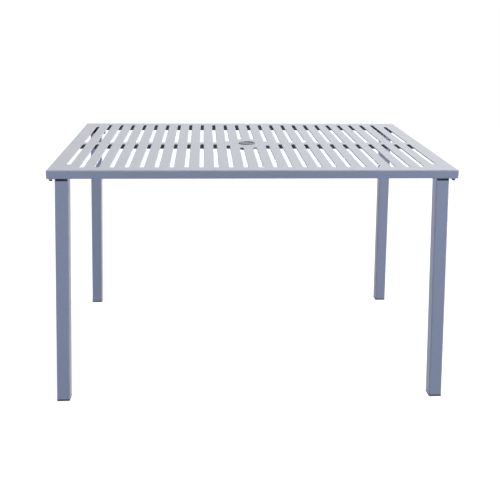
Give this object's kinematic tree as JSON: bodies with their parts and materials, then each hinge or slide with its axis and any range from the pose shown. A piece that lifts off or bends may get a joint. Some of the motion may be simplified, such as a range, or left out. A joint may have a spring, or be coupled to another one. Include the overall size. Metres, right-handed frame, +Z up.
{
  "type": "garden table",
  "caption": "Rectangular slatted steel garden table with a folded rim, a capped parasol hole and slightly splayed square-tube legs bolted on at the corners.",
  "frame": {"origin": "on the floor, straight under the middle of the table top", "axes": "+X along the long side to the right as seen from the front, +Y to the back, +Z up"},
  "size_m": [1.2222, 0.8222, 0.7425],
  "materials": {
    "top_coat": "satin silver-grey powder coat with a fine texture",
    "frame_coat": "satin silver-grey powder coat with a fine texture",
    "black_plastic": "matt black moulded plastic",
    "plug_plastic": "matt grey moulded plastic",
    "dark_zinc": "black zinc plating"
  },
  "bodies": {
    "table": {"slatted_panel": "top_coat", "rim_front": "frame_coat", "rim_back": "frame_coat", "rim_left": "frame_coat", "rim_right": "frame_coat", "centre_rail_left": "frame_coat", "centre_rail_right": "frame_coat", "parasol_collar": "frame_coat", "gusset_front_left": "frame_coat", "gusset_front_right": "frame_coat", "gusset_back_left": "frame_coat", "gusset_back_right": "frame_coat", "leg_plate_front_left": "frame_coat", "leg_plate_front_right": "frame_coat", "leg_plate_back_left": "frame_coat", "leg_plate_back_right": "frame_coat", "leg_tube_front_left": "frame_coat", "leg_tube_front_right": "frame_coat", "leg_tube_back_left": "frame_coat", "leg_tube_back_right": "frame_coat", "leg_insert_front_left": "black_plastic", "leg_insert_front_right": "black_plastic", "leg_insert_back_left": "black_plastic", "leg_insert_back_right": "black_plastic", "foot_cap_front_left": "black_plastic", "foot_cap_front_right": "black_plastic", "foot_cap_back_left": "black_plastic", "foot_cap_back_right": "black_plastic", "leg_bolts": "dark_zinc", "leg_washers": "dark_zinc", "leg_nuts": "dark_zinc"},
    "plug": {"parasol_plug": "plug_plastic"}
  },
  "joints": [
    {"name": "plug_lift", "type": "slide", "parent": "table", "child": "plug", "axis": [0, 0, 1], "range_m": [0, 0.06]}
  ]
}
